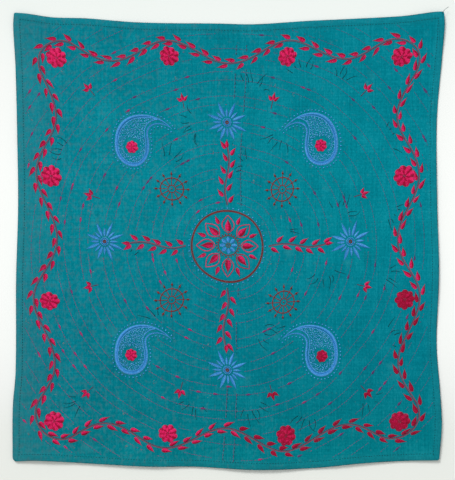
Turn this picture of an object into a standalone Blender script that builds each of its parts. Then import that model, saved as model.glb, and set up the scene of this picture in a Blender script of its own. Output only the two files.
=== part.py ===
# Kantha embroidered cloth: one nearly square cotton cloth with a turned, stitched hem,
# laid out face up on a flat surface.
# Metres, +Z up, +Y towards the cloth's top edge. The origin is on the surface, under the
# middle of the cloth's bounding box.

from collections import namedtuple
from math import cos, pi, radians, sin

import bmesh
import bpy
from mathutils import Vector

CLOTH_NAME = "kantha_cloth"

# The cloth's four corners as it lies, and its mean size between them
TOP_LEFT = Vector((-0.4496, 0.4784))
TOP_RIGHT = Vector((0.4519, 0.4805))
BOTTOM_LEFT = Vector((-0.4528, -0.4631))
BOTTOM_RIGHT = Vector((0.4418, -0.4603))
WIDTH = 0.898
HEIGHT = 0.941

CLOTH_THICKNESS = 0.0020
HEM_WIDTH = 0.015       # from the folded edge to the hem's line of stitches
HEM_STEP = 0.003        # width of the slope where the turned layer ends
HEM_EXTRA = 0.0008      # the turned layer, pressed flat
LIFT_REACH = 0.050      # how far in from a raised edge the cloth is back on the surface
CELLS_ACROSS = 46       # grid cells between the two hems
CELLS_DOWN = 48
SAME_PLACE = 0.00001

# One row for each place where an edge bends. along: share of the edge's length, left to
# right or top to bottom. out: how far the edge stands outside the straight line between
# its corners. lift: how high its underside stands off the surface.
EdgeRow = namedtuple("EdgeRow", "along out lift")

TOP_EDGE = (
    EdgeRow(0.00, 0.0000, 0.0030),
    EdgeRow(0.03, -0.0020, 0.0022),
    EdgeRow(0.09, -0.0097, 0.0012),
    EdgeRow(0.17, -0.0120, 0.0000),
    EdgeRow(0.29, -0.0208, 0.0008),
    EdgeRow(0.48, -0.0235, 0.0000),
    EdgeRow(0.56, -0.0252, 0.0010),
    EdgeRow(0.68, -0.0185, 0.0000),
    EdgeRow(0.90, -0.0090, 0.0014),
    EdgeRow(0.98, -0.0004, 0.0040),
    EdgeRow(1.00, 0.0000, 0.0045),
)

BOTTOM_EDGE = (
    EdgeRow(0.00, 0.0000, 0.0022),
    EdgeRow(0.06, -0.0018, 0.0045),
    EdgeRow(0.20, 0.0056, 0.0024),
    EdgeRow(0.32, 0.0114, 0.0040),
    EdgeRow(0.43, 0.0122, 0.0012),
    EdgeRow(0.57, 0.0190, 0.0042),
    EdgeRow(0.71, 0.0155, 0.0015),
    EdgeRow(0.81, 0.0068, 0.0034),
    EdgeRow(0.91, 0.0016, 0.0012),
    EdgeRow(1.00, 0.0000, 0.0038),
)

LEFT_EDGE = (
    EdgeRow(0.00, 0.0000, 0.0030),
    EdgeRow(0.03, 0.0018, 0.0026),
    EdgeRow(0.12, -0.0030, 0.0004),
    EdgeRow(0.27, -0.0073, 0.0018),
    EdgeRow(0.43, -0.0094, 0.0000),
    EdgeRow(0.60, -0.0060, 0.0014),
    EdgeRow(0.80, -0.0055, 0.0000),
    EdgeRow(0.88, 0.0000, 0.0018),
    EdgeRow(1.00, 0.0000, 0.0022),
)

RIGHT_EDGE = (
    EdgeRow(0.00, 0.0000, 0.0045),
    EdgeRow(0.03, 0.0020, 0.0038),
    EdgeRow(0.10, -0.0025, 0.0014),
    EdgeRow(0.24, -0.0120, 0.0004),
    EdgeRow(0.42, -0.0100, 0.0026),
    EdgeRow(0.58, -0.0045, 0.0036),
    EdgeRow(0.74, -0.0075, 0.0006),
    EdgeRow(0.84, 0.0000, 0.0026),
    EdgeRow(0.92, 0.0046, 0.0044),
    EdgeRow(1.00, 0.0000, 0.0038),
)

# How far each corner's point is rounded off
CornerRow = namedtuple("CornerRow", "corner radius")

CORNERS = (
    CornerRow(TOP_LEFT, 0.003),
    CornerRow(TOP_RIGHT, 0.004),
    CornerRow(BOTTOM_LEFT, 0.009),
    CornerRow(BOTTOM_RIGHT, 0.004),
)

# Low soft ridges where the cloth stands off the surface. x, y: the middle. heading:
# degrees from +X. length, width: from end to end and from foot to foot.
FoldRow = namedtuple("FoldRow", "x y heading length width height")

FOLDS = (
    FoldRow(0.405, -0.265, 68, 0.16, 0.060, 0.0022),
    FoldRow(0.375, 0.215, 100, 0.22, 0.075, 0.0016),
    FoldRow(0.250, -0.400, 4, 0.24, 0.070, 0.0018),
    FoldRow(-0.040, -0.385, 96, 0.17, 0.065, 0.0016),
    FoldRow(-0.300, -0.395, 172, 0.20, 0.075, 0.0015),
    FoldRow(-0.405, -0.120, 92, 0.20, 0.070, 0.0014),
    FoldRow(-0.395, 0.285, 84, 0.17, 0.065, 0.0016),
    FoldRow(-0.120, 0.395, 12, 0.22, 0.070, 0.0014),
    FoldRow(0.190, 0.385, 166, 0.20, 0.065, 0.0015),
    FoldRow(0.022, 0.190, 93, 0.24, 0.080, 0.0012),
    FoldRow(0.160, -0.120, 150, 0.22, 0.085, 0.0011),
    FoldRow(-0.190, 0.030, 40, 0.24, 0.090, 0.0011),
)

# Shallow creases left in the face by folding for storage. start, end: where they run out.
CreaseRow = namedtuple("CreaseRow", "start end width depth")

CREASES = (
    CreaseRow(Vector((0.026, 0.440)), Vector((0.005, -0.460)), 0.040, 0.0006),
    CreaseRow(Vector((-0.430, -0.137)), Vector((0.425, -0.134)), 0.045, 0.0004),
)

# Long waves over the whole face, where many lines of stitches have drawn it up.
# heading: the way the wave runs, in degrees from +X. phase: share of a wave at the origin.
WaveRow = namedtuple("WaveRow", "heading length height phase")

PUCKERS = (
    WaveRow(24, 0.110, 0.00024, 0.10),
    WaveRow(151, 0.134, 0.00020, 0.45),
    WaveRow(88, 0.205, 0.00022, 0.70),
)

TEAL = (0.008, 0.205, 0.250, 1.0)


def smooth_value(rows, column, along):
    # The named column at a share of the edge, on a smooth curve through the table's rows
    values = [getattr(row, column) for row in rows]
    last = len(rows) - 1
    i = max(n for n in range(last) if rows[n].along <= along)

    def slope(n):
        before, after = max(n - 1, 0), min(n + 1, last)
        return (values[after] - values[before]) / (rows[after].along - rows[before].along)

    span = rows[i + 1].along - rows[i].along
    t = (along - rows[i].along) / span
    return (
        (2 * t**3 - 3 * t**2 + 1) * values[i]
        + (t**3 - 2 * t**2 + t) * span * slope(i)
        + (3 * t**2 - 2 * t**3) * values[i + 1]
        + (t**3 - t**2) * span * slope(i + 1)
    )


def bump(distance, reach):
    # 1 in the middle, 0 from the reach outwards, smooth between
    share = min(abs(distance) / reach, 1.0)
    return 0.5 + 0.5 * cos(pi * share)


def grid_lines(length, cells):
    # Shares of the side where the grid's lines lie: two at each hem, even ones between
    hem_lines = [0.0, (HEM_WIDTH - HEM_STEP) / length, HEM_WIDTH / length]
    inside = 1 - 2 * hem_lines[-1]
    even = [hem_lines[-1] + inside * n / cells for n in range(1, cells)]
    return hem_lines + even + [1 - share for share in reversed(hem_lines)]


def side_point(start, end, rows, along, outward):
    return start.lerp(end, along) + outward * smooth_value(rows, "out", along)


def place_in_outline(u, v):
    # u runs left to right and v from top to bottom. The four edges are blended inwards.
    top = side_point(TOP_LEFT, TOP_RIGHT, TOP_EDGE, u, Vector((0, 1)))
    bottom = side_point(BOTTOM_LEFT, BOTTOM_RIGHT, BOTTOM_EDGE, u, Vector((0, -1)))
    left = side_point(TOP_LEFT, BOTTOM_LEFT, LEFT_EDGE, v, Vector((-1, 0)))
    right = side_point(TOP_RIGHT, BOTTOM_RIGHT, RIGHT_EDGE, v, Vector((1, 0)))
    straight_top = TOP_LEFT.lerp(TOP_RIGHT, u)
    straight_bottom = BOTTOM_LEFT.lerp(BOTTOM_RIGHT, u)
    return top.lerp(bottom, v) + left.lerp(right, u) - straight_top.lerp(straight_bottom, v)


def edge_lift(u, v):
    sides = (
        (TOP_EDGE, u, v * HEIGHT),
        (BOTTOM_EDGE, u, (1 - v) * HEIGHT),
        (LEFT_EDGE, v, u * WIDTH),
        (RIGHT_EDGE, v, (1 - u) * WIDTH),
    )
    return max(
        max(smooth_value(rows, "lift", along), 0.0) * bump(inwards, LIFT_REACH)
        for rows, along, inwards in sides
    )


def fold_lift(place):
    total = 0.0
    for fold in FOLDS:
        turn = radians(fold.heading)
        offset = place - Vector((fold.x, fold.y))
        lengthwise = offset.x * cos(turn) + offset.y * sin(turn)
        crosswise = offset.y * cos(turn) - offset.x * sin(turn)
        total += fold.height * bump(lengthwise, fold.length / 2) * bump(crosswise, fold.width / 2)
    return total


def crease_drop(place):
    total = 0.0
    for crease in CREASES:
        run = crease.end - crease.start
        offset = place - crease.start
        share = min(max(offset.dot(run) / run.length_squared, 0), 1)
        total += crease.depth * bump((offset - run * share).length, crease.width / 2)
    return total


def pucker(place):
    total = 0.0
    for wave in PUCKERS:
        turn = radians(wave.heading)
        run = place.x * cos(turn) + place.y * sin(turn)
        total += wave.height * sin(2 * pi * (run / wave.length + wave.phase))
    return total


def thickness(place, u, v):
    from_edge = min(u * WIDTH, (1 - u) * WIDTH, v * HEIGHT, (1 - v) * HEIGHT)
    if from_edge < HEM_WIDTH - HEM_STEP / 2:
        return CLOTH_THICKNESS + HEM_EXTRA
    return CLOTH_THICKNESS + pucker(place) - crease_drop(place)


def round_corners(bm):
    # Each corner's upright edge is bevelled by its own radius
    for row in CORNERS:
        uprights = [
            edge
            for edge in bm.edges
            if all((vertex.co.xy - row.corner).length < SAME_PLACE for vertex in edge.verts)
        ]
        bmesh.ops.bevel(
            bm,
            geom=uprights,
            offset=row.radius,
            segments=3,
            profile=0.5,
            affect="EDGES",
            clamp_overlap=True,
        )


def centre_over_origin(bm):
    places = [vertex.co for vertex in bm.verts]
    low = Vector([min(co[axis] for co in places) for axis in range(3)])
    high = Vector([max(co[axis] for co in places) for axis in range(3)])
    middle = (low + high) / 2
    bmesh.ops.translate(bm, verts=bm.verts, vec=(-middle.x, -middle.y, -low.z))


def make_cloth_mesh():
    columns = grid_lines(WIDTH, CELLS_ACROSS)
    rows = grid_lines(HEIGHT, CELLS_DOWN)
    last_column, last_row = len(columns) - 1, len(rows) - 1
    bm = bmesh.new()
    shares = bm.verts.layers.float_vector.new("shares")
    bmesh.ops.create_grid(bm, x_segments=last_column, y_segments=last_row, size=0.5)
    for vertex in bm.verts:
        u = columns[round((vertex.co.x + 0.5) * last_column)]
        v = rows[round((0.5 - vertex.co.y) * last_row)]
        place = place_in_outline(u, v)
        vertex.co = (place.x, place.y, edge_lift(u, v) + fold_lift(place))
        vertex[shares] = (u, v, 0)

    thickened = bmesh.ops.extrude_face_region(bm, geom=bm.faces[:])
    for vertex in thickened["geom"]:
        if isinstance(vertex, bmesh.types.BMVert):
            u, v, _ = vertex[shares]
            vertex.co.z += thickness(vertex.co.xy, u, v)
    round_corners(bm)
    bmesh.ops.recalc_face_normals(bm, faces=bm.faces)
    centre_over_origin(bm)

    mesh = bpy.data.meshes.new(CLOTH_NAME)
    bm.to_mesh(mesh)
    bm.free()
    mesh.shade_smooth()
    mesh.set_sharp_from_angle(angle=radians(40))
    return mesh


def make_cotton():
    cotton = bpy.data.materials.new("teal_cotton")
    cotton.use_nodes = True
    shader = cotton.node_tree.nodes["Principled BSDF"]
    shader.inputs["Base Color"].default_value = TEAL
    shader.inputs["Roughness"].default_value = 0.9
    shader.inputs["Metallic"].default_value = 0.0
    return cotton


def build():
    for old in list(bpy.data.objects):
        bpy.data.objects.remove(old, do_unlink=True)
    collection = bpy.data.collections.new("kantha_embroidered_cloth")
    bpy.context.scene.collection.children.link(collection)

    cloth = bpy.data.objects.new(CLOTH_NAME, make_cloth_mesh())
    cloth.data.materials.append(make_cotton())
    collection.objects.link(cloth)


build()
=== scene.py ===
# Kantha embroidered cloth: hand-woven teal cotton with a turned hem, stitched all over,
# lying face up on a pale floor. Metres, +Z up, +Y towards the cloth's top edge.
from itertools import chain
from math import ceil, cos, pi, radians, sin

import bmesh
import bpy
import numpy as np
from mathutils import Matrix


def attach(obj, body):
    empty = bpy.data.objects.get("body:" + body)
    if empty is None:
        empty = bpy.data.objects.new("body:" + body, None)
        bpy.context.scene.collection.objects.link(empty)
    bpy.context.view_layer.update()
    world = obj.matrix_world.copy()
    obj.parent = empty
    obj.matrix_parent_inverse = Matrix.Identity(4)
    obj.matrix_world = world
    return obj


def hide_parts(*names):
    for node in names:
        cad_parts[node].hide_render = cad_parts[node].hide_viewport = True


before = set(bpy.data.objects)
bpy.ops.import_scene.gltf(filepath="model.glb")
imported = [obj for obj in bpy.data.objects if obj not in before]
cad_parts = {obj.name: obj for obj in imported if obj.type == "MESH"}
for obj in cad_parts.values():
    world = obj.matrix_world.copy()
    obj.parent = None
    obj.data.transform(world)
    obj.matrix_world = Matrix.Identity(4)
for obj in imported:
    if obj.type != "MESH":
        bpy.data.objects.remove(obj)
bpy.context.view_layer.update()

mm = 0.001
chance = np.random.default_rng(417)


# The cloth as it lies. Its rows repeat the solid's own sizes.
cloth = {
    "topLeft": -0.4496 + 0.4784j,
    "topRight": 0.4519 + 0.4805j,
    "bottomLeft": -0.4528 - 0.4631j,
    "bottomRight": 0.4418 - 0.4603j,
    "width": 0.898,
    "height": 0.941,
    "flatSize": (0.90, 0.94),
    "thickness": 2.0 * mm,
    "hemExtra": 0.8 * mm,       # the turned layer, pressed flat
    "hemFlat": 11.5 * mm,       # how far in the turned layer lies at its full thickness
    "hemStitches": 13.9 * mm,
    "hemWidth": 18.0 * mm,
    "hemRows": (9.5 * mm, 13.0 * mm, 15.0 * mm, 20.5 * mm),     # let the hem step down softly
    "stitchGroove": 0.12 * mm,  # how deep the hem's stitches pull
    "grooveReach": 2 * mm,
    "rimRound": 1.0 * mm,
    "liftReach": 50 * mm,       # how far in from a raised edge the cloth is back on the floor
    "cellSize": 4.6 * mm,
}

# share of the edge, how far it stands out of the straight line and off the floor, in mm
edgeRows = {
    "top": [
        (0.00, 0.0, 3.0), (0.03, -2.0, 2.2), (0.09, -9.7, 1.2), (0.17, -12.0, 0.0), (0.29, -20.8, 0.8),
        (0.48, -23.5, 0.0), (0.56, -25.2, 1.0), (0.68, -18.5, 0.0), (0.90, -9.0, 1.4), (0.98, -0.4, 4.0),
        (1.00, 0.0, 4.5),
    ],
    "bottom": [
        (0.00, 0.0, 2.2), (0.06, -1.8, 4.5), (0.20, 5.6, 2.4), (0.32, 11.4, 4.0), (0.43, 12.2, 1.2),
        (0.57, 19.0, 4.2), (0.71, 15.5, 1.5), (0.81, 6.8, 3.4), (0.91, 1.6, 1.2), (1.00, 0.0, 3.8),
    ],
    "left": [
        (0.00, 0.0, 3.0), (0.03, 1.8, 2.6), (0.12, -3.0, 0.4), (0.27, -7.3, 1.8), (0.43, -9.4, 0.0),
        (0.60, -6.0, 1.4), (0.80, -5.5, 0.0), (0.88, 0.0, 1.8), (1.00, 0.0, 2.2),
    ],
    "right": [
        (0.00, 0.0, 4.5), (0.03, 2.0, 3.8), (0.10, -2.5, 1.4), (0.24, -12.0, 0.4), (0.42, -10.0, 2.6),
        (0.58, -4.5, 3.6), (0.74, -7.5, 0.6), (0.84, 0.0, 2.6), (0.92, 4.6, 4.4), (1.00, 0.0, 3.8),
    ],
}

cornerRadii = {"topLeft": 3 * mm, "topRight": 4 * mm, "bottomLeft": 9 * mm, "bottomRight": 4 * mm}

# low ridges that stand off the floor, in mm: middle, heading, length, width, height
folds = [
    (405 - 265j, 68, 160, 60, 2.2),
    (375 + 215j, 100, 220, 75, 1.6),
    (250 - 400j, 4, 240, 70, 1.8),
    (-40 - 385j, 96, 170, 65, 1.6),
    (-300 - 395j, 172, 200, 75, 1.5),
    (-405 - 120j, 92, 200, 70, 1.4),
    (-395 + 285j, 84, 170, 65, 1.6),
    (-120 + 395j, 12, 220, 70, 1.4),
    (190 + 385j, 166, 200, 65, 1.5),
    (22 + 190j, 93, 240, 80, 1.2),
    (160 - 120j, 150, 220, 85, 1.1),
    (-190 + 30j, 40, 240, 90, 1.1),
]

# soft troughs pressed in the face, in mm: start, end, width, depth. The first two are the
# folds that the cloth was put away with.
creases = [
    (26 + 440j, 5 - 460j, 40, 0.6),
    (-430 - 137j, 425 - 134j, 45, 0.4),
    (16 + 425j, -4 - 455j, 12, 0.4),
    (37 + 425j, 17 - 455j, 12, 0.4),
    (12 - 150j, 9 - 215j, 12, 0.8),
    (-418 + 305j, -414 + 260j, 12, 0.6),
    (-68 + 440j, -66 + 418j, 12, 0.6),
    (58 + 62j, 70 + 22j, 12, 0.6),
    (412 - 262j, 430 - 300j, 13, 0.8),
    (-80 - 293j, -10 - 302j, 12, 0.5),
    (200 - 400j, 262 - 398j, 16, 0.6),
    (-330 - 360j, -180 - 345j, 18, 0.4),
    (300 + 330j, 345 + 240j, 14, 0.4),
    (-250 + 150j, -235 + 60j, 14, 0.4),
]

# waves over the whole face, in mm: heading, length, height, phase. The short ones are the
# ripples that rows of stitches leave.
puckers = [
    (24, 110, 0.24, 0.10),
    (151, 134, 0.2, 0.45),
    (88, 205, 0.22, 0.70),
    (4, 31, 0.08, 0.25),
    (171, 24, 0.06, 0.60),
    (62, 47, 0.09, 0.80),
    (118, 39, 0.08, 0.35),
]


def smoothRows(rows, column, along):
    shares = np.array([row[0] for row in rows])
    values = np.array([row[column] for row in rows]) * mm
    before = np.maximum(np.arange(len(rows)) - 1, 0)
    after = np.minimum(np.arange(len(rows)) + 1, len(rows) - 1)
    slopes = (values[after] - values[before]) / (shares[after] - shares[before])
    i = np.clip(np.searchsorted(shares, along, side="right") - 1, 0, len(rows) - 2)
    span = shares[i + 1] - shares[i]
    t = (along - shares[i]) / span
    return (
        (2 * t**3 - 3 * t**2 + 1) * values[i]
        + (t**3 - 2 * t**2 + t) * span * slopes[i]
        + (3 * t**2 - 2 * t**3) * values[i + 1]
        + (t**3 - t**2) * span * slopes[i + 1]
    )


def bump(distance, reach):
    share = np.minimum(np.abs(distance) / reach, 1.0)
    return 0.5 + 0.5 * np.cos(pi * share)


def mix(start, end, share):
    return start * (1 - share) + end * share


def placeInOutline(u, v):
    # u runs left to right and v top to bottom; the four wavy edges are blended inwards
    topLine = mix(cloth["topLeft"], cloth["topRight"], u)
    bottomLine = mix(cloth["bottomLeft"], cloth["bottomRight"], u)
    top = topLine + 1j * smoothRows(edgeRows["top"], 1, u)
    bottom = bottomLine - 1j * smoothRows(edgeRows["bottom"], 1, u)
    left = mix(cloth["topLeft"], cloth["bottomLeft"], v) - smoothRows(edgeRows["left"], 1, v)
    right = mix(cloth["topRight"], cloth["bottomRight"], v) + smoothRows(edgeRows["right"], 1, v)
    return mix(top, bottom, v) + mix(left, right, u) - mix(topLine, bottomLine, v)


def underHeight(place, u, v):
    width, height = cloth["width"], cloth["height"]
    sides = [("top", u, v * height), ("bottom", u, (1 - v) * height),
             ("left", v, u * width), ("right", v, (1 - u) * width)]
    lift = np.zeros_like(u)
    for name, along, inwards in sides:
        edge = np.maximum(smoothRows(edgeRows[name], 2, along), 0)
        lift = np.maximum(lift, edge * bump(inwards, cloth["liftReach"]))
    for middle, heading, length, wide, high in folds:
        fromFold = (place / mm - middle) * np.exp(-1j * radians(heading))
        lift = lift + high * mm * bump(fromFold.real, length / 2) * bump(fromFold.imag, wide / 2)
    return lift


def faceRelief(place):
    place = place / mm
    relief = np.zeros(place.shape)
    for heading, length, high, phase in puckers:
        run = (place * np.exp(-1j * radians(heading))).real
        relief += high * np.sin(2 * pi * (run / length + phase))
    for start, end, wide, deep in creases:
        run = end - start
        share = np.clip(((place - start) / run).real, 0, 1)
        relief -= deep * bump(np.abs(place - start - run * share), wide / 2)
    return relief * mm


def awayFromEdge(u, v):
    width, height = cloth["width"], cloth["height"]
    return np.minimum(np.minimum(u, 1 - u) * width, np.minimum(v, 1 - v) * height)


def hemRelief(away):
    turned = bump(np.maximum(away - cloth["hemFlat"], 0), cloth["hemWidth"] - cloth["hemFlat"])
    groove = bump(away - cloth["hemStitches"], cloth["grooveReach"])
    return cloth["hemExtra"] * turned - cloth["stitchGroove"] * groove


def gridLines(length):
    # where the rows of faces lie: close together over the hem, even inside it
    near = sorted([0, cloth["hemFlat"], cloth["hemStitches"], cloth["hemWidth"], *cloth["hemRows"]])
    inside = length - 2 * near[-1]
    cells = ceil(inside / cloth["cellSize"])
    even = [near[-1] + inside * n / cells for n in range(1, cells)]
    return np.array(near + even + [length - d for d in reversed(near)]) / length


linesAcross = gridLines(cloth["width"])
linesDown = gridLines(cloth["height"])
gridU, gridV = np.meshgrid(linesAcross, linesDown)
gridPlace = placeInOutline(gridU, gridV)
gridUnder = underHeight(gridPlace, gridU, gridV)
gridFace = gridUnder + cloth["thickness"] + faceRelief(gridPlace) + hemRelief(awayFromEdge(gridU, gridV))


def makeCloth():
    bm = bmesh.new()
    columns, rows = len(linesAcross) - 1, len(linesDown) - 1
    bmesh.ops.create_grid(bm, x_segments=columns, y_segments=rows, size=0.5)
    gridPoint = bm.verts.layers.int.new("gridPoint")
    away = bm.verts.layers.float.new("away")
    under, face = gridUnder.ravel(), gridFace.ravel()
    place, inwards = gridPlace.ravel(), awayFromEdge(gridU, gridV).ravel()
    for vert in bm.verts:
        column, row = round((vert.co.x + 0.5) * columns), round((0.5 - vert.co.y) * rows)
        n = row * (columns + 1) + column
        vert[gridPoint], vert[away] = n, inwards[n]
        vert.co = (place[n].real, place[n].imag, under[n])

    # the face is an extruded copy of the underside
    made = bmesh.ops.extrude_face_region(bm, geom=list(bm.faces))["geom"]
    for vert in made:
        if isinstance(vert, bmesh.types.BMVert):
            vert.co.z = face[vert[gridPoint]]

    rounding = {"profile": 0.5, "affect": "EDGES", "material": -1}
    corners = [0, columns, rows * (columns + 1), rows * (columns + 1) + columns]
    for corner, radius in zip(corners, cornerRadii.values()):
        upright = [edge for edge in bm.edges if {vert[gridPoint] for vert in edge.verts} == {corner}]
        bmesh.ops.bevel(bm, geom=upright, offset=radius, segments=4, **rounding)
    bmesh.ops.recalc_face_normals(bm, faces=bm.faces)
    # the rim: the edges between a level face and an upright one
    rim = [edge for edge in bm.edges
           if sorted(abs(face.normal.z) > 0.7 for face in edge.link_faces) == [False, True]]
    bmesh.ops.bevel(bm, geom=rim, offset=cloth["rimRound"], segments=2, **rounding)
    bm.verts.layers.int.remove(gridPoint)
    mesh = bpy.data.meshes.new("kanthaCloth")
    bm.to_mesh(mesh)
    bm.free()
    mesh.shade_smooth()
    return mesh


clothMesh = makeCloth()
clothPoints = np.array([vert.co for vert in clothMesh.vertices])
clothMiddle = (clothPoints.min(axis=0) + clothPoints.max(axis=0)) / 2
clothMesh.transform(Matrix.Translation((-clothMiddle[0], -clothMiddle[1], 0)))
gridPlace -= complex(clothMiddle[0], clothMiddle[1])
print("cloth laid:", len(clothMesh.polygons), "faces")


def onCloth(place):
    # from the flat design to the cloth as it lies: where that point of its face is
    u = place.real / cloth["width"] + 0.5
    v = 0.5 - place.imag / cloth["height"]
    i = np.clip(np.searchsorted(linesAcross, u) - 1, 0, len(linesAcross) - 2)
    j = np.clip(np.searchsorted(linesDown, v) - 1, 0, len(linesDown) - 2)
    s = (u - linesAcross[i]) / (linesAcross[i + 1] - linesAcross[i])
    t = (v - linesDown[j]) / (linesDown[j + 1] - linesDown[j])
    lie, high = [mix(mix(grid[j, i], grid[j, i + 1], s), mix(grid[j + 1, i], grid[j + 1, i + 1], s), t)
                 for grid in (gridPlace, gridFace)]
    return np.stack([lie.real, lie.imag, high], axis=-1)


# Sewing. A stitch is a row: start, end, thread, how high its middle stands, shade. Places on
# the cloth are complex numbers, x + y * 1j, so that turning and moving a motif stay short.
sewing = {
    "cell": 4 * mm,         # how finely sewn places are told from bare ones
    "wander": 1.1 * mm,     # the hand's drift from the drawn line
    "thread": 0.95 * mm,    # a strand of the satin stitch
    "packing": 0.92,        # from one strand to the next, as a share of the thread
    "slant": 0.10,          # how far a leaf's strands lean to its tip
    "lie": 0.10 * mm,       # how high satin stitch stands at least
    "padding": 0.08,        # and how much more over a wide leaf
    "uneven": {"shade": 0.22, "leaf": 0.10 * mm, "ahead": 0.35 * mm, "aside": 0.20 * mm},
    "stitchLengths": (0.82, 1.12),      # shortest and longest running stitch, as shares
    "stemLean": 0.28,       # how far each stem stitch starts beside the line
    "stemCrown": 0.05 * mm,
}


def jitter(spread):
    return chance.normal(0, spread)


def sew(skein, start, end, thread, crown=0.0, shade=0.0):
    skein.append((start, end, thread, crown, shade + jitter(sewing["uneven"]["shade"])))


def turned(angle):
    return complex(cos(radians(angle)), sin(radians(angle)))


def evenly(line, step):
    reach = np.concatenate([[0], np.cumsum(np.abs(np.diff(line)))])
    count = max(2, round(reach[-1] / step) + 1)
    return np.interp(np.linspace(0, reach[-1], count), reach, line)


def ring(centre, radius, count, start=0):
    return centre + radius * np.exp(1j * (radians(start) + np.arange(count) * 2 * pi / count))


def closed(line):
    return np.append(line, line[0])


def sideways(line):
    run = np.gradient(line)
    return 1j * run / np.abs(run)


def skeinShade(place):
    # the lower right was sewn with a deeper skein
    deeper = -0.9 if place.real > 0.02 and place.imag < -0.13 else 0.0
    return deeper + jitter(0.10)


def satinLeaf(skein, base, tip, width, fullest=0.58, taper=1.1, raised=0.0, shade=None):
    # Round at its base and drawn out to a thin dark tip. With fullest at 1 it is widest halfway,
    # and a taper below 0 makes the tip round and pale.
    thread, uneven = sewing["thread"], sewing["uneven"]
    length = abs(tip - base)
    along = (tip - base) / length
    shade = skeinShade(base) if shade is None else shade
    count = max(4, round(length / (thread * sewing["packing"])))
    for n in range(count):
        t = (n + 0.5) / count
        half = width / 2 * sin(pi * t**fullest) ** (0.7 + taper * t) + 0.25 * thread
        middle = base + along * (t * length + jitter(uneven["leaf"]))
        reach = along * (sewing["slant"] + 1j) * half
        sew(skein, middle - reach, middle + reach, thread,
            raised + sewing["lie"] + sewing["padding"] * half, shade - 0.6 * taper * t * t)


def satinBand(skein, inner, outer, padding=0.03):
    for start, end in zip(inner, outer):
        sew(skein, start, end, sewing["thread"], sewing["lie"] + padding * abs(end - start))


def stemLine(skein, line, thread=1.0 * mm, reach=4.6 * mm, shade=0.0):
    line = evenly(line, reach / 2)
    aside = sideways(line) * thread * sewing["stemLean"]
    for n in range(len(line) - 2):
        sew(skein, line[n] + aside[n], line[n + 2] - aside[n + 2], thread, sewing["stemCrown"], shade)


def cellOf(place):
    return (round(place.real / sewing["cell"]), round(place.imag / sewing["cell"]))


def cellsOf(*skeins):
    # the cells that stitches cross, and those next to them
    cells = set()
    for start, end, *others in chain(*skeins):
        for place in (start, (start + end) / 2, end):
            x, y = cellOf(place)
            cells.update((x + n, y + m) for n in (-1, 0, 1) for m in (-1, 0, 1))
    return cells


def runningLine(skein, line, thread, reach, pitch, avoid=(), shadeAt=None):
    line = evenly(line, pitch)
    uneven = sewing["uneven"]
    for place, ahead in zip(line, -1j * sideways(line)):
        if cellOf(place) not in avoid:
            place += ahead * complex(jitter(uneven["ahead"]), jitter(uneven["aside"]))
            half = ahead * reach / 2 * chance.uniform(*sewing["stitchLengths"])
            sew(skein, place - half, place + half, thread, shade=shadeAt(place) if shadeAt else 0.0)


def knot(skein, place, size, shade=0.0):
    half = size / 2 * turned(chance.uniform(0, 180))
    sew(skein, place - half, place + half, size, 0.0, shade)


def knotRing(skein, centre, radius, count, size, shade=0.0):
    for place in ring(centre, radius, count):
        knot(skein, place, size, shade)


def isInside(outline, place):
    # a level line from the place crosses the outline an odd number of times
    ahead = np.roll(outline, -1)
    crosses = (outline.imag > place.imag) != (ahead.imag > place.imag)
    rise = np.where(crosses, ahead.imag - outline.imag, 1)
    crossing = outline.real + (place.imag - outline.imag) / rise * (ahead.real - outline.real)
    return np.count_nonzero(crosses & (crossing > place.real)) % 2 == 1


def seedFill(skein, outline, spacing, thread, reach, avoid=()):
    for x in np.arange(outline.real.min(), outline.real.max(), spacing):
        for y in np.arange(outline.imag.min(), outline.imag.max(), spacing):
            place = complex(x, y) + spacing * 0.25 * complex(chance.normal(), chance.normal())
            if cellOf(place) not in avoid and isInside(outline, place):
                half = reach / 2 * turned(chance.uniform(0, 180))
                sew(skein, place - half, place + half, thread, 0.15 * mm, chance.normal(0.3, 0.5))


# Daisies: two rows of round petals. Near end, far end and breadth all round as shares of the
# radius, how many petals fewer, turn, height
petalRows = [
    (0.20, 1.0, 5.8, 0, 0, 0.0),
    (0.10, 0.58, 3.8, 2, 20, 0.25 * mm),
]


def daisy(skein, centre, radius, petals=8, start=0):
    shade = skeinShade(centre) + 0.10
    for near, far, wide, fewer, turn, raised in petalRows:
        count = petals - fewer
        for n in range(count):
            out = turned(start + turn + 360 * n / count + jitter(2))
            tip = centre + out * radius * far * chance.uniform(0.95, 1.05)
            satinLeaf(skein, centre + out * radius * near, tip, radius * wide / count,
                      fullest=1.35, taper=-0.25, raised=raised, shade=shade + jitter(0.10))
    knot(skein, centre, 2.2 * mm, shade - 0.4)
    knotRing(skein, centre, radius * 0.10, 4, 2.2 * mm, shade - 0.4)


def mirrored(x, y):
    return [complex(x, y), complex(-x, y), complex(-x, -y), complex(x, -y)]


creeperSkein, daisySkein, lotusSkein, fieldSkein, stemSkein = [], [], [], [], []
kalkaSkein, starSkein, rustSkein = [], [], []


# The creeper that winds round the border, with a leaf now on one side and now on the other
# and a daisy in each of its inner bends
creeper = {
    "halfWidth": 0.387,
    "halfHeight": 0.4085,
    "cornerRadius": 0.060,
    "wavesToASide": 3,
    "sway": 23 * mm,
    "leafPitch": 15.5 * mm,
    "leafLength": 23 * mm,
    "leafWidth": 8.8 * mm,
    "leafAngle": 16,
    "leafGap": 5.0 * mm,
    "stemThread": 1.0 * mm,
    "stemGap": 2.2 * mm,
    "flowerRadius": 21.5 * mm,
    "flowerInset": 9 * mm,
}


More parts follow.
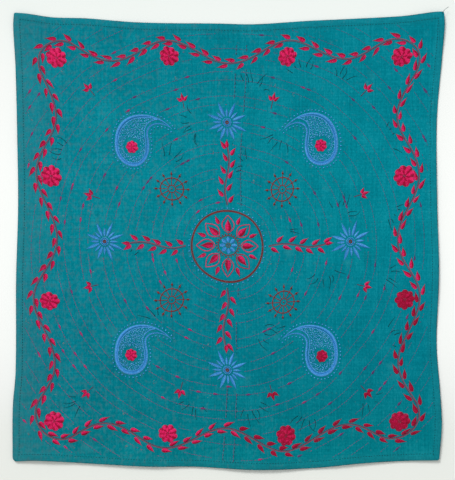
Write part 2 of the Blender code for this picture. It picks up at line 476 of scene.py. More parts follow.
def frameSides(halfWidth, halfHeight, radius):
    # four runs, each from the middle of one rounded corner to the middle of the next
    corners = mirrored(halfWidth - radius, halfHeight - radius)
    sides = []
    for n in range(4):
        middle = 45 + 90 * n
        leaving = [corners[n] + radius * turned(angle) for angle in np.linspace(middle, middle + 45, 8)]
        arriving = [corners[(n + 1) % 4] + radius * turned(angle)
                    for angle in np.linspace(middle + 45, middle + 90, 8)]
        sides.append(evenly(np.array(leaving + arriving), 2 * mm))
    return sides


def sewStem(line, skein):
    # two lines side by side, the outer one maroon
    aside = sideways(line) * creeper["stemGap"] / 2
    stemLine(skein, line - aside, thread=creeper["stemThread"], shade=-1.2)
    stemLine(stemSkein, line + aside, thread=creeper["stemThread"])


def sewCreeper():
    waves = creeper["wavesToASide"]
    vine, daisies = [], []
    for side in frameSides(creeper["halfWidth"], creeper["halfHeight"], creeper["cornerRadius"]):
        share = np.linspace(0, 1, len(side))
        inwards = sideways(side)
        vine.extend((side - inwards * creeper["sway"] * np.cos(2 * pi * waves * share))[:-1])
        for n in range(waves):
            at = round(n / waves * (len(side) - 1))
            daisies.append(side[at] + inwards[at] * creeper["flowerInset"])
    vine = closed(np.array(vine))
    sewStem(vine, creeperSkein)
    for n, centre in enumerate(daisies):
        daisy(daisySkein, centre, creeper["flowerRadius"] * chance.uniform(0.94, 1.06), start=9 * n)

    places = evenly(vine, creeper["leafPitch"])[:-1]
    for n, (place, left) in enumerate(zip(places, sideways(places))):
        aside = left if n % 2 else -left
        ahead = -1j * left * turned(creeper["leafAngle"] * (1 if n % 2 else -1) + jitter(5))
        base = place + aside * creeper["leafGap"]
        tip = base + ahead * creeper["leafLength"] * chance.uniform(0.88, 1.08)
        if min(abs(tip - centre) for centre in daisies) > creeper["flowerRadius"] + 2 * mm:
            satinLeaf(creeperSkein, base, tip, creeper["leafWidth"] * chance.uniform(0.9, 1.1))


# The lotus in the middle, from its heart outwards: where each row starts and ends, its width
lotus = {
    "petals": 8,
    "heartKnots": (4.0 * mm, 7, 2.3 * mm),      # their ring's radius, how many, size
    "blueRow": (6 * mm, 18 * mm, 8.5 * mm),
    "rustKnots": (23.5 * mm, 24, 2.6 * mm),
    "petalRow": (26 * mm, 65 * mm, 25 * mm),
    "coreRow": (30 * mm, 58 * mm, 13.5 * mm),
    "sepalRow": (49 * mm, 69 * mm, 8 * mm),
    "rustRings": ((20.5 * mm, 48), (74 * mm, 96), (76.2 * mm, 96)),     # radius, points
    "paleKnots": (81 * mm, 44, 3.0 * mm),
    "outline": 1.5 * mm,
}


def lotusLeaf(skein, row, out, **look):
    near, far, wide = lotus[row]
    satinLeaf(skein, out * near, out * far, wide, **look)


def sewLotus():
    knot(rustSkein, 0j, lotus["heartKnots"][-1])
    knotRing(rustSkein, 0, *lotus["heartKnots"])
    knotRing(rustSkein, 0, *lotus["rustKnots"])
    for radius, points in lotus["rustRings"]:
        stemLine(rustSkein, closed(ring(0, radius, points)), lotus["outline"])
    knotRing(starSkein, 0, *lotus["paleKnots"])

    for out in ring(0, 1, lotus["petals"]):
        lotusLeaf(starSkein, "blueRow", out, fullest=1.1, taper=0.2)
        lotusLeaf(lotusSkein, "coreRow", out)
        near, far, wide = lotus["petalRow"]
        share = np.linspace(0, 1, 20)
        half = wide / 2 * np.sin(pi * share**0.85)
        for edge in (1j * half, -1j * half):
            line = (mix(near, far, share) + edge) * out
            stemLine(lotusSkein, line, lotus["outline"], shade=skeinShade(out))
    for out in ring(0, 1, lotus["petals"], 180 / lotus["petals"]):
        lotusLeaf(lotusSkein, "sepalRow", out)


# Sprigs on the lotus's four sides, each ending in a star
sprig = {
    "start": 88 * mm,
    "length": 124 * mm,
    "sway": 5 * mm,
    "leafPairs": 5,
    "leafLength": 20.5 * mm,
    "leafWidth": 8.8 * mm,
    "leafAngle": 34,
    "endLeaf": (-3 * mm, 14 * mm),      # from where to where, past the stem's end
    "starBeyond": 50 * mm,
}

star = {
    "rays": 16,
    "rayStart": 12.6 * mm,
    "rayRows": ((31 * mm, 5.0 * mm), (44 * mm, 7.0 * mm)),      # reach and width, in turn
    "knots": ((rustSkein, 2.6 * mm, 6), (starSkein, 5.4 * mm, 12), (starSkein, 8.4 * mm, 18)),
    "knotSize": 2.5 * mm,
}


def sewStar(centre):
    for n, ray in enumerate(ring(0, 1, star["rays"], chance.uniform(-3, 3))):
        reach, wide = star["rayRows"][n % 2]
        tip = centre + ray * reach * chance.uniform(0.95, 1.05)
        satinLeaf(starSkein, centre + ray * star["rayStart"], tip, wide, fullest=0.75, taper=0.5)
    for skein, radius, count in star["knots"]:
        knotRing(skein, centre, radius, count, star["knotSize"])


def sewSprig(out):
    share = np.linspace(0, 1, 40)
    line = out * (sprig["start"] + share * sprig["length"] + 1j * sprig["sway"] * np.sin(2 * pi * share))
    sewStem(line, fieldSkein)
    for n in range(sprig["leafPairs"]):
        for side in (1, -1):
            at = round((n + 0.5 + 0.25 * side) / sprig["leafPairs"] * (len(line) - 1))
            base = line[at] + 1j * out * side * creeper["leafGap"]
            ahead = out * turned(side * (sprig["leafAngle"] + jitter(4)))
            satinLeaf(fieldSkein, base, base + ahead * sprig["leafLength"], sprig["leafWidth"])
    start, end = sprig["endLeaf"]
    satinLeaf(fieldSkein, line[-1] + out * start, line[-1] + out * end, sprig["leafWidth"])
    sewStar(line[-1] + out * sprig["starBeyond"])


# Four kalkas: drops with a curled tip. A satin rim narrows to the tip; rows of running
# stitch follow it inwards, round a flower.
kalka = {
    "places": mirrored(0.203, 0.222),
    "size": 146 * mm,
    "fullness": 0.70,
    "neck": 0.2,                # where it starts to curl over, as a share of half its size
    "curl": 58,
    "rim": 8 * mm,
    "rimStitch": 0.92 * mm,
    "inner": (0.80, 0.64),      # size and curl of the inner line, as shares
    "innerThread": 1.6 * mm,
    "seeds": {"spacing": 3.3 * mm, "thread": 1.4 * mm, "reach": 3.0 * mm},
    "knots": (5 * mm, 8 * mm, 2.8 * mm),    # how far out, from one to the next, size
    "flowerRadius": 13 * mm,
}


def kalkaHeart(centre):
    return centre - 1j * kalka["neck"] * kalka["size"] / 2


def kalkaLine(centre, size=1.0, curl=1.0):
    t = np.linspace(0, 2 * pi, 361)[1:-1]
    drop = kalka["fullness"] * np.sin(t) * np.sin(t / 2) ** 1.3 + 1j * (np.cos(t) + 0.42)
    neck = 1j * kalka["neck"]
    bend = radians(kalka["curl"]) * curl * np.maximum((drop - neck).imag, 0) ** 1.4
    drop = (drop - neck) * np.exp(1j * bend) + neck
    if centre.real < 0:
        drop = -drop.conjugate()
    return kalkaHeart(centre) + kalka["size"] / 2 * size * drop


def sewKalka(centre):
    outline = evenly(kalkaLine(centre), kalka["rimStitch"])
    inwards = sideways(outline) * (1 if centre.real < 0 else -1)
    narrow = np.sin(pi * np.linspace(0, 1, len(outline))) ** 0.7
    satinBand(kalkaSkein, outline + inwards * kalka["rim"] * narrow, outline)
    inner = closed(kalkaLine(centre, *kalka["inner"]))
    stemLine(kalkaSkein, inner, kalka["innerThread"])
    daisy(daisySkein, kalkaHeart(centre), kalka["flowerRadius"], petals=7, start=30)
    seedFill(kalkaSkein, inner, **kalka["seeds"], avoid=cellsOf(daisySkein, creeperSkein))
    outwards, pitch, size = kalka["knots"]
    for place in evenly(outline - inwards * outwards, pitch):
        knot(kalkaSkein, place, size)


# Small wheels between the sprigs
wheel = {
    "places": mirrored(0.118, 0.118),
    "radius": 24 * mm,
    "hub": 8 * mm,
    "spokes": 12,
    "threads": {"rim": 1.8 * mm, "hub": 1.4 * mm, "spoke": 1.3 * mm, "outer": 1.1 * mm},
    "knots": {"heart": 3.0 * mm, "end": 4.2 * mm},
    "endKnotsOut": 9 * mm,
}


def sewWheel(centre):
    threads, knots = wheel["threads"], wheel["knots"]
    stemLine(rustSkein, closed(ring(centre, wheel["radius"], 44)), threads["rim"])
    stemLine(rustSkein, closed(ring(centre, wheel["hub"], 16)), threads["hub"], reach=3 * mm)
    knot(rustSkein, centre, knots["heart"])
    spoke = np.array([wheel["hub"], wheel["radius"]])
    outer = (spoke - wheel["hub"] + wheel["radius"]) * 0.96
    for out in ring(0, 1, wheel["spokes"]):
        stemLine(rustSkein, centre + out * spoke, threads["spoke"], reach=3.6 * mm)
        stemLine(rustSkein, centre + out * outer, threads["outer"])
        knot(rustSkein, centre + out * (wheel["radius"] + wheel["endKnotsOut"]), knots["end"])


# Three-leaved butis in the gaps
buti = {
    "places": [(0.096 + 0.306j, 78), (0.288 + 0.096j, 15), (0.293 + 0.318j, 48)],   # and headings
    "stem": (-16 * mm, 2 * mm),
    "stemThread": 1.2 * mm,
    "leaves": ((0, 17 * mm), (50, 14 * mm), (-50, 14 * mm)),    # angle, length
    "leafGap": 3 * mm,
    "leafWidth": 7.6 * mm,
}


def sewButi(place, out):
    stemLine(stemSkein, place + out * np.array(buti["stem"]), buti["stemThread"])
    for angle, length in buti["leaves"]:
        ahead = out * turned(angle)
        base = place + ahead * buti["leafGap"]
        satinLeaf(fieldSkein, base, base + ahead * length, buti["leafWidth"])


sewCreeper()
sewLotus()
for out in ring(0, 1, 4):
    sewSprig(out)
for centre in kalka["places"]:
    sewKalka(centre)
for centre in wheel["places"]:
    sewWheel(centre)
for place, heading in buti["places"]:
    out = turned(heading)
    for motif in zip(mirrored(place.real, place.imag), mirrored(out.real, out.imag)):
        sewButi(*motif)
print("motifs sewn")


# Running stitches: pairs of rings that spread from the lotus to the hem, with a bud here and
# there, and the two lines down the middle
running = {
    "thread": 0.95 * mm,
    "reach": 4.4 * mm,
    "pitch": 5.3 * mm,
    "firstRing": 0.095,
    "ringStep": 0.051,
    "ringGap": 0.018,
    "rings": 10,
    "pointsToARing": 720,
    "halfWidth": 0.430,
    "halfHeight": 0.451,
    "budEvery": 0.150,
    "budLength": 12 * mm,
    "budWidth": 4.2 * mm,
    "middleLines": [(0.0155, -0.0055), (0.0365, 0.0155)],   # x at the top and at the bottom
    "middleReach": (0.425, -0.452),
}

pinkSkein = []
sewn = cellsOf(creeperSkein, daisySkein, lotusSkein, fieldSkein, stemSkein, kalkaSkein, starSkein,
               rustSkein)


def pinkShade(place):
    # strongest at the lower left, faded at the upper right
    return np.clip(-0.25 - 1.3 * place.real - 0.7 * place.imag, -0.9, 0.6)


def sewBuds(line, count):
    for place in chance.choice(line[2:-2], count, replace=False):
        if cellOf(place) not in sewn:
            along = 1j * place / abs(place) * running["budLength"] / 2
            shade = pinkShade(place) + chance.uniform(-0.2, 1.2)
            satinLeaf(pinkSkein, place - along, place + along, running["budWidth"], shade=shade)


def sewRunning():
    settings = {"thread": running["thread"], "reach": running["reach"], "pitch": running["pitch"],
                "avoid": sewn, "shadeAt": pinkShade}
    points = running["pointsToARing"]
    for n in range(2 * running["rings"]):
        radius = running["firstRing"] + n // 2 * running["ringStep"] + n % 2 * running["ringGap"]
        line = ring(0, radius, points)
        within = (np.abs(line.real) < running["halfWidth"]) & (np.abs(line.imag) < running["halfHeight"])
        for run in np.split(np.arange(points), np.flatnonzero(np.diff(within.astype(int))) + 1):
            if within[run[0]] and len(run) > 3:
                runningLine(pinkSkein, line[run], **settings)
                sewBuds(line[run], round(len(run) * 2 * pi / points * radius / running["budEvery"]))
    for top, bottom in running["middleLines"]:
        high, low = running["middleReach"]
        runningLine(pinkSkein, np.array([complex(top, high), complex(bottom, low)]), **settings)


sewRunning()
print("running stitches sewn:", len(pinkSkein))


# The hem's row of running stitches, palest along the top, and the end of thread that sticks
# out past the top right corner
hem = {
    "thread": 1.1 * mm,
    "reach": 3.0 * mm,
    "pitch": 5.6 * mm,
    "topShade": 1.0,
    "shade": -0.3,
    "looseEnd": [0.4440 + 0.4655j, 0.4462 + 0.4690j, 0.4487 + 0.4722j, 0.4515 + 0.4750j,
                 0.4548 + 0.4775j, 0.4585 + 0.4796j],
    "looseThread": 0.8 * mm,
}

# Wisps: a few long thin dark strokes, fanned out from an arc in a bare place, most of them on
# the right: the arc's centre and radius in mm, middle heading, turn from stroke to stroke,
# how many strokes
wisps = {
    "fans": [
        (44 + 318j, 30, 70, 19, 6), (160 + 352j, 26, 100, -22, 5),
        (325 + 205j, 34, 20, 17, 6), (238 + 52j, 24, 60, 24, 6),
        (52 + 165j, 20, 150, 26, 4), (338 + 62j, 22, -30, -23, 5),
        (120 + 245j, 26, 240, 20, 5), (-52 + 262j, 32, 200, 18, 7),
        (-130 + 168j, 20, 60, 25, 4), (-330 + 185j, 26, 170, 22, 5),
        (205 - 48j, 26, -80, 21, 6), (318 - 70j, 28, -20, 20, 5),
        (62 - 178j, 22, -20, -24, 5), (148 - 168j, 20, -140, 24, 4),
        (326 - 215j, 30, 10, -19, 6), (46 - 322j, 28, -60, 20, 6),
        (172 - 345j, 24, -110, 22, 5), (285 - 322j, 20, -50, -26, 4),
        (-60 - 315j, 30, -120, -18, 6), (-140 - 170j, 22, 130, 23, 4),
        (-215 - 40j, 26, 90, 21, 5), (118 + 30j, 16, 0, 28, 3),
        (-300 - 330j, 22, 210, 22, 4), (225 + 330j, 24, 60, -20, 4),
    ],
    "length": (15 * mm, 32 * mm),
    "thread": 1.25 * mm,
    "steps": 5,
    "besideFold": 1.3 * mm,
    "foldStitchAndShade": {"thread": 0.9 * mm, "reach": 5.5 * mm, "pitch": 9 * mm},
}

# Tufts of pale stray fibre that stick to the cloth, most of them on the left
lint = {
    "tufts": 90,
    "left": -0.43,
    "right": 0.15,
    "leaning": 1.7,         # above 1, more tufts lie on the left
    "upDown": (-0.44, 0.40),
    "fibres": (2, 6),
    "length": (1.5 * mm, 4.5 * mm),
    "spread": 1.6 * mm,
    "thread": 0.55 * mm,
}

hemSkein, darkSkein, lintSkein = [], [], []


def hemShade(place):
    alongTop = place.imag > cloth["height"] / 2 - cloth["hemStitches"] - mm
    return hem["topShade"] if alongTop else hem["shade"]


def sewHem():
    inset = cloth["hemStitches"]
    corners = mirrored(cloth["width"] / 2 - inset, cloth["height"] / 2 - inset)
    for start, end in zip(corners, corners[1:] + corners[:1]):
        runningLine(hemSkein, np.array([start, end]), hem["thread"], hem["reach"], hem["pitch"],
                    shadeAt=hemShade)
    for start, end in zip(hem["looseEnd"], hem["looseEnd"][1:]):
        sew(hemSkein, start, end + (end - start) * 0.12, hem["looseThread"], 0.3 * mm, -0.5)


def sewWisps():
    for centre, radius, middle, turn, strokes in wisps["fans"]:
        for n in range(strokes):
            heading = middle + turn * (n - (strokes - 1) / 2) + jitter(4)
            start = centre + turned(heading) * radius * chance.uniform(0.85, 1.15)
            sewStroke(start * mm, heading, chance.uniform(*wisps["length"]))
    # and dark stitches beside the pink ones down the middle: partly stitches, partly a painted shadow of the
    # fold there
    high, low = running["middleReach"]
    for top, bottom in running["middleLines"]:
        line = np.array([complex(top, high), complex(bottom, low)]) + wisps["besideFold"]
        runningLine(darkSkein, line, **wisps["foldStitchAndShade"], avoid=sewn)


def sewStroke(place, heading, length):
    bend = jitter(7)
    for step in range(wisps["steps"]):
        ahead = length / wisps["steps"] * turned(heading)
        if cellOf(place) not in sewn:
            sew(darkSkein, place, place + ahead * 1.15, wisps["thread"] * (1.1 - 0.12 * step))
        place += ahead
        heading += bend + jitter(8)


def scatterLint():
    for n in range(lint["tufts"]):
        x = mix(lint["left"], lint["right"], chance.uniform() ** lint["leaning"])
        tuft = complex(x, chance.uniform(*lint["upDown"]))
        if cellOf(tuft) not in sewn:
            for fibre in range(chance.integers(*lint["fibres"])):
                place = tuft + lint["spread"] * complex(chance.normal(), chance.normal())
                half = turned(chance.uniform(0, 180)) * chance.uniform(*lint["length"]) / 2
                sew(lintSkein, place - half, place + half, lint["thread"], 0.1 * mm, jitter(0.5))


sewHem()
sewWisps()
scatterLint()
print("hem, wisps and lint sewn:", len(hemSkein), len(darkSkein), len(lintSkein))


# A strand's rings, from its middle to its tip
strand = {
    "along": (0, 0.42, 0.5),        # how far out, as a share of its length
    "rise": (1, 0.75, 0),           # how high its spine stands, as a share of its crown
    # painted shade: how far the strand's tone drops at each ring, as if shaded where it dives into the cloth
    "paintedEndShade": (0, 0.2, 0.9),
    "swell": 1.22,                  # breadth at the shoulders, against the ball's own
    "flatness": 0.62,
    "sunk": 0.15 * mm,
    "stands": 0.30,                 # how high every strand lies, as a share of its thread
}


def makeStrand(sides):
    # one stitch: a ball drawn out along X
    bm = bmesh.new()
    bmesh.ops.create_uvsphere(bm, u_segments=sides, v_segments=4, radius=1,
                              matrix=Matrix.Rotation(pi / 2, 4, "Y"))
    bmesh.ops.triangulate(bm, faces=bm.faces)
    verts = np.array([vert.co for vert in bm.verts])
    faces = np.array([[vert.index for vert in face.verts] for face in bm.faces])
    bm.free()
    middle, shoulder, tip = strand["along"]
    ringsAt = [-1, -sin(pi / 4), 0, sin(pi / 4), 1]
    along = np.interp(verts[:, 0], ringsAt, [-tip, -shoulder, middle, shoulder, tip])
    grown = np.interp(verts[:, 0], ringsAt, [1, strand["swell"], 1, strand["swell"], 1])
    return along, verts[:, 1] * grown, verts[:, 2] * grown, faces


def sewPiece(name, skein, material, sides=5, drawn=True):
    # all of a skein's stitches as one mesh, a strand laid on the cloth for each
    along, aside, above, faces = makeStrand(sides)
    rows = np.array(skein)
    start, end = rows[:, 0], rows[:, 1]
    thread, crown, shade = rows[:, 2:].real.T
    if drawn:
        start, end = handDrawn(start), handDrawn(end)
    spine = onCloth(mix(start[:, None], end[:, None], along + 0.5))
    run = (end - start) / np.abs(end - start)
    side = np.stack([-run.imag, run.real, np.zeros(len(run))], axis=-1)
    rise = np.interp(np.abs(along), strand["along"], strand["rise"])
    height = (crown + strand["stands"] * thread)[:, None] * rise - strand["sunk"]
    half = thread[:, None] / 2
    places = spine + side[:, None, :] * (half * aside)[..., None]
    places[..., 2] += height + half * above * strand["flatness"]

    mesh = bpy.data.meshes.new(name)
    firsts = np.arange(len(start)) * len(along)
    allFaces = (faces[None] + firsts[:, None, None]).reshape(-1, 3)
    mesh.from_pydata(places.reshape(-1, 3), [], allFaces, shade_flat=False)
    # what the thread's material reads: place along the stitch, place across it, shade
    twist = np.empty(places.shape)
    twist[..., 0] = along * np.abs(end - start)[:, None]
    twist[..., 1] = half * aside
    # with painted shade at the strand's ends, where it dives into the cloth
    twist[..., 2] = shade[:, None] - np.interp(np.abs(along), strand["along"], strand["paintedEndShade"])
    mesh.attributes.new("thread", "FLOAT_VECTOR", "POINT").data.foreach_set("vector", twist.ravel())
    mesh.shade_smooth()
    return addPiece(name, mesh, material)


def handDrawn(place):
    # a slow drift, so that no line is ruled and no two motifs are alike
    x, y = place.real, place.imag
    return place + sewing["wander"] * (
        np.sin(31 * x + 17 * y + 0.4) + np.sin(23 * y - 41 * x + 2.1)
        + 1j * np.sin(27 * x - 19 * y + 1.3) + 1j * np.sin(37 * y + 15 * x + 0.7))


def newObject(name, data):
    made = bpy.data.objects.new(name, data)
    bpy.context.scene.collection.objects.link(made)
    return made


def addPiece(name, mesh, material):
    piece = newObject(name, mesh)
    mesh.materials.append(material)
    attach(piece, "root")
    print(name, "made:", len(mesh.polygons), "faces")
    return piece


# Materials
waveRepeat = 0.314      # how far apart the bands of a Wave texture at Scale 1 lie


def newMaterial(name):
    material = bpy.data.materials.new(name)
    material.use_nodes = True
    material.node_tree.nodes.clear()
    return material


def addNode(material, kind, inputs=None, **settings):
    node = material.node_tree.nodes.new("ShaderNode" + kind)
    for name, value in settings.items():
        setattr(node, name, value)
    for name, value in (inputs or {}).items():
        if isinstance(value, bpy.types.NodeSocket):
            material.node_tree.links.new(value, node.inputs[name])
        else:
            node.inputs[name].default_value = value
    return node


def noise(material, place, scale, detail=2.0, roughness=0.5):
    spread = addNode(material, "Mapping", {"Vector": place, "Scale": scale})
    inputs = {"Vector": spread.outputs[0], "Scale": 1.0, "Detail": detail, "Roughness": roughness}
    return addNode(material, "TexNoise", inputs).outputs["Fac"]


def ramp(material, value, stops):
    node = addNode(material, "ValToRGB", {0: value})
    elements = node.color_ramp.elements
    while len(elements) < len(stops):
        elements.new(0.5)
    for element, (at, colour) in zip(elements, stops):
        element.position = at
        element.color = (*colour, 1) if isinstance(colour, tuple) else (colour, colour, colour, 1)
    return node.outputs["Color"]


def calculate(material, operation, *values):
    return addNode(material, "Math", dict(enumerate(values)), operation=operation).outputs[0]


def fade(material, value, low, high, start=0.0, end=1.0, how="LINEAR"):
    inputs = {"Value": value, 1: low, 2: high, 3: start, 4: end}
    return addNode(material, "MapRange", inputs, interpolation_type=how).outputs[0]


def blend(material, share, first, second, mode="MIX"):
    # the second may be a plain colour
    inputs = {0: share, 6: first, 7: (*second, 1) if isinstance(second, tuple) else second}
    return addNode(material, "Mix", inputs, data_type="RGBA", blend_type=mode).outputs[2]


def dented(material, height, strength, distance, **under):
    inputs = {"Strength": strength, "Distance": distance, "Height": height, **under}
    return addNode(material, "Bump", inputs).outputs[0]


def finish(material, colour, normal, roughness, **direct):
    inputs = {"Base Color": colour, "Normal": normal, "Roughness": roughness}
    shader = addNode(material, "BsdfPrincipled", inputs)
    for name, value in direct.items():
        shader.inputs[name.replace("_", " ")].default_value = value
    addNode(material, "OutputMaterial", {"Surface": shader.outputs[0]})
    return material


cottonLook = {
    "shades": [(0.33, (0.0, 0.152, 0.203)), (0.50, (0.0, 0.207, 0.268)), (0.67, (0.005, 0.263, 0.332))],
    # painted light: the tones by which the light falls off down the cloth
    "paintedLightFalloff": [(0.00, (1.0, 0.82, 0.77)), (0.22, (1.0, 0.83, 0.84)), (0.40, (1.0, 0.915, 0.925)),
               (0.52, (1.0, 0.975, 0.965)), (0.70, (1.0, 1.0, 1.0)), (0.86, (1.0, 0.95, 0.955)),
               (1.00, (1.0, 0.935, 0.94))],     # bottom to top
    "pinkish": (0.085, 0.150, 0.180),
    "faded": (0.045, 0.205, 0.225),
    "stain": (0.030, 0.235, 0.270),
    "edgeShadeAndDirt": (0.012, 0.060, 0.075),
    "weavePitch": 0.60 * mm,
}


def makeCotton():
    cotton = newMaterial("handWovenTealCotton")
    place = addNode(cotton, "TexCoord").outputs["Object"]
    warp = noise(cotton, place, (320, 13, 1), 1)
    slubs = noise(cotton, place, (300, 190, 1), 2)
    weft = noise(cotton, place, (13, 300, 1), 1)
    cloudy = noise(cotton, place, (16, 13, 1), 4, 0.6)
    shade = -0.10
    for value, share in ((slubs, 0.38), (warp, 0.27), (weft, 0.21), (cloudy, 0.34)):
        shade = calculate(cotton, "MULTIPLY_ADD", value, share, shade)
    colour = ramp(cotton, shade, cottonLook["shades"])

    # painted light: the cloth is darkest and least blue at the bottom and brightest a little above its
    # middle; the dye is greyest down the left edge
    parts = addNode(cotton, "SeparateXYZ", {0: place}).outputs
    upwards = fade(cotton, parts["Y"], -0.47, 0.47)
    colour = blend(cotton, 1.0, colour, ramp(cotton, upwards, cottonLook["paintedLightFalloff"]), "MULTIPLY")
    left = fade(cotton, parts["X"], -0.36, -0.45, end=0.24)
    colour = blend(cotton, left, colour, cottonLook["faded"])

    # reddish flecks of stray fibre, more of them on the left
    leftward = calculate(cotton, "MULTIPLY", parts["X"], -0.22)
    flecks = noise(cotton, place, (118, 92, 1), 2, 0.6)
    flecks = calculate(cotton, "ADD", flecks, leftward)
    flecks = ramp(cotton, flecks, [(0.54, 0.0), (0.80, 0.34)])
    colour = blend(cotton, flecks, colour, cottonLook["pinkish"])

    # a few pale stains, the worn hem, and a dark line round the rim that is partly dirt and partly painted
    # shade where the rim turns away from the light
    stains = ramp(cotton, noise(cotton, place, (11, 13, 1), 3), [(0.66, 0.0), (0.74, 0.35)])
    colour = blend(cotton, stains, colour, cottonLook["stain"])
    away = addNode(cotton, "Attribute", attribute_name="away").outputs["Fac"]
    wear = fade(cotton, away, 6 * mm, 26 * mm, 0.09, 0.0)
    colour = blend(cotton, wear, colour, cottonLook["faded"])
    # painted shade and dirt: within 2.5 mm of the edge the cloth darkens, in patches
    edge = fade(cotton, away, 0.0, 2.5 * mm, 0.85, 0.0)
    edgeShadeAndDirt = ramp(cotton, noise(cotton, place, (45, 45, 1), 2), [(0.42, 0.25), (0.62, 1.0)])
    edge = calculate(cotton, "MULTIPLY", edge, edgeShadeAndDirt)
    colour = blend(cotton, edge, colour, cottonLook["edgeShadeAndDirt"])

    # plain weave under the slubs
    bands = {"Vector": place, "Scale": waveRepeat / cottonLook["weavePitch"], "Distortion": 1.5}
    weave = calculate(cotton, "MULTIPLY", *[
        addNode(cotton, "TexWave", bands, bands_direction=way).outputs["Fac"] for way in "XY"])
    height = calculate(cotton, "MULTIPLY_ADD", slubs, 2.0, weave)
    normal = dented(cotton, height, 0.5, 0.20 * mm)
    crumple = noise(cotton, place, (75, 48, 1), 4, 0.6)
    normal = dented(cotton, crumple, 0.32, 1.2 * mm, Normal=normal)
    rough = ramp(cotton, slubs, [(0.3, 0.96), (0.7, 0.86)])
    return finish(cotton, colour, normal, rough, Specular_IOR_Level=0.025, Sheen_Weight=0.02,
                  Sheen_Roughness=0.5, Sheen_Tint=(0.10, 0.75, 0.85, 1))


threadLooks = {
    "crimsonThread": ((0.360, 0.002, 0.034), (0.730, 0.011, 0.118), (0.860, 0.026, 0.175)),
    "maroonThread": ((0.070, 0.004, 0.034), (0.150, 0.006, 0.050), (0.240, 0.009, 0.070)),
    "blueThread": ((0.028, 0.215, 0.560), (0.068, 0.325, 0.720), (0.150, 0.450, 0.860)),
    "rustThread": ((0.130, 0.012, 0.008), (0.240, 0.022, 0.016), (0.330, 0.035, 0.024)),
    "pinkThread": ((0.085, 0.060, 0.175), (0.230, 0.038, 0.185), (0.500, 0.030, 0.165)),
    "hemThread": ((0.002, 0.030, 0.040), (0.003, 0.055, 0.070), (0.008, 0.085, 0.105)),
    "darkThread": ((0.001, 0.012, 0.018), (0.002, 0.025, 0.035), (0.004, 0.045, 0.058)),
    "lintFibre": ((0.130, 0.090, 0.120), (0.270, 0.190, 0.180), (0.420, 0.340, 0.300)),
}


def makeThread(name):
    thread = newMaterial(name)
    lie = addNode(thread, "Attribute", attribute_name="thread").outputs["Vector"]
    parts = addNode(thread, "SeparateXYZ", {0: lie}).outputs
    # painted shade: each strand deepens over the half where it starts, so one side of every satin leaf looks
    # turned from the light
    half = fade(thread, parts["X"], -2 * mm, 1 * mm, -0.9, 0.2)
    shade = fade(thread, calculate(thread, "ADD", parts["Z"], half), -1.0, 1.0)
    deep, plain, pale = threadLooks[name]
    colour = ramp(thread, shade, [(0.05, deep), (0.50, plain), (0.95, pale)])
    place = addNode(thread, "TexCoord").outputs["Object"]
    worn = ramp(thread, noise(thread, place, (900, 900, 900), 2), [(0.35, 0.80), (0.65, 1.0)])
    colour = blend(thread, 0.6, colour, worn, "MULTIPLY")
    # the strands' twist
    drawn = addNode(thread, "Mapping", {"Vector": lie, "Scale": (1, 1.4, 0)}).outputs[0]
    twist = addNode(thread, "TexWave", {"Vector": drawn, "Scale": waveRepeat / (0.7 * mm)},
                    bands_direction="DIAGONAL").outputs["Fac"]
    normal = dented(thread, twist, 0.4, 0.12 * mm)
    rough = ramp(thread, twist, [(0.2, 0.66), (0.8, 0.52)])
    return finish(thread, colour, normal, rough, Specular_IOR_Level=0.10, Sheen_Weight=0.02)


clothPiece = addPiece("kanthaCloth", clothMesh, makeCotton())
crimson = makeThread("crimsonThread")
blue = makeThread("blueThread")
sewnPieces = [
    sewPiece("crimsonCreeper", creeperSkein, crimson, sides=4),
    sewPiece("crimsonDaisies", daisySkein, crimson),
    sewPiece("crimsonLotus", lotusSkein, crimson),
    sewPiece("crimsonSprigs", fieldSkein, crimson),
    sewPiece("maroonStems", stemSkein, makeThread("maroonThread")),
    sewPiece("blueKalkas", kalkaSkein, blue),
    sewPiece("blueStars", starSkein, blue),
    sewPiece("rustWheels", rustSkein, makeThread("rustThread")),
    sewPiece("pinkRunning", pinkSkein, makeThread("pinkThread"), sides=4),
    sewPiece("hemStitches", hemSkein, makeThread("hemThread"), sides=4, drawn=False),
    sewPiece("darkWisps", darkSkein, makeThread("darkThread"), sides=4),
    sewPiece("strayLint", lintSkein, makeThread("lintFibre"), sides=4),
]


# Floor, light and camera
studio = {
    "floorRadius": 40.0,
    "floorDrop": 0.2 * mm,
    "floorColour": (0.885, 0.895, 0.880),
    # painted light on the floor: greyest below the cloth, brightest beside its middle
    "paintedFloorLight": [(0.00, (0.84, 0.845, 0.82)), (0.10, (0.85, 0.855, 0.835)), (0.20, 0.92), (0.28, 0.96),
                   (0.42, 0.995), (0.65, 1.0), (0.82, 0.97), (0.92, (0.935, 0.95, 0.945)),
                   (1.00, (0.905, 0.93, 0.92))],     # bottom to top of the cloth
    "farTone": (0.92, 0.92, 0.92),
    "farFrom": (0.75, 1.9),
    "skyColours": [(0.49, (0.925, 0.945, 0.925)), (0.62, (0.66, 0.675, 0.665))],    # horizon, above
    "sunFrom": (-0.50, 1.00, 0.84),
    "sunWidth": 20,
    "sunStrength": 2.26,
    "cameraPlace": (-0.0023, 0.0017, 2.8),
    "cameraLens": 100,
}


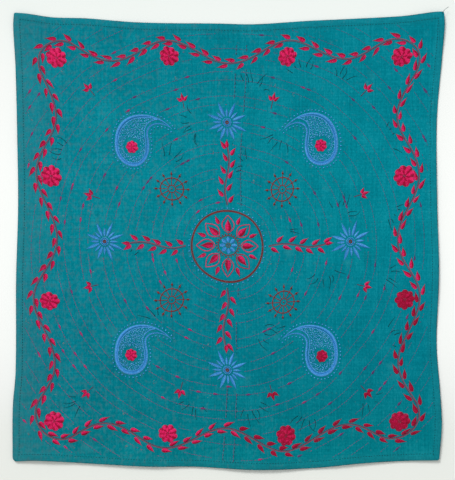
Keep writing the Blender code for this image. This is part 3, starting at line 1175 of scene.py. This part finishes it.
def makeFloor():
    bm = bmesh.new()
    bmesh.ops.create_circle(bm, cap_ends=True, segments=96, radius=studio["floorRadius"])
    bmesh.ops.translate(bm, verts=bm.verts, vec=(0, 0, -studio["floorDrop"]))
    mesh = bpy.data.meshes.new("floor")
    bm.to_mesh(mesh)
    bm.free()
    floor = newObject("floor", mesh)
    paint = newMaterial("palePaint")
    place = addNode(paint, "TexCoord").outputs["Object"]
    upwards = addNode(paint, "SeparateXYZ", {0: place}).outputs["Y"]
    # painted light: the floor is greyest below the cloth and brightest beside its middle, and becomes one
    # even tone further out
    colour = ramp(paint, fade(paint, upwards, -0.50, 0.50), studio["paintedFloorLight"])
    away = addNode(paint, "VectorMath", {0: place}, operation="LENGTH").outputs["Value"]
    away = fade(paint, away, *studio["farFrom"], how="SMOOTHSTEP")
    colour = blend(paint, away, colour, studio["farTone"])
    colour = blend(paint, 1.0, colour, studio["floorColour"], "MULTIPLY")
    grain = noise(paint, place, (400, 400, 400), 2)
    normal = dented(paint, grain, 0.05, 0.1 * mm)
    mesh.materials.append(finish(paint, colour, normal, 0.85, Specular_IOR_Level=0.1))


def lightAndCamera():
    scene = bpy.context.scene
    scene.view_settings.view_transform = "Standard"
    world = bpy.data.worlds.new("studio")
    scene.world = world
    world.use_nodes = True
    upward = addNode(world, "SeparateXYZ", {0: addNode(world, "TexCoord").outputs["Generated"]}).outputs["Z"]
    share = calculate(world, "MULTIPLY_ADD", upward, 0.5, 0.5)
    sky = ramp(world, share, studio["skyColours"])
    world.node_tree.links.new(sky, world.node_tree.nodes["Background"].inputs["Color"])

    light = bpy.data.lights.new("sun", "SUN")
    light.energy = studio["sunStrength"]
    light.angle = radians(studio["sunWidth"])
    sun = newObject("sun", light)
    sun.location = studio["sunFrom"]
    sun.rotation_euler = (-sun.location).to_track_quat("-Z", "Y").to_euler()

    camera = bpy.data.cameras.new("camera")
    camera.lens = studio["cameraLens"]
    scene.camera = newObject("camera", camera)
    scene.camera.location = studio["cameraPlace"]


makeFloor()
lightAndCamera()
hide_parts("kantha_cloth")
print("studio ready")
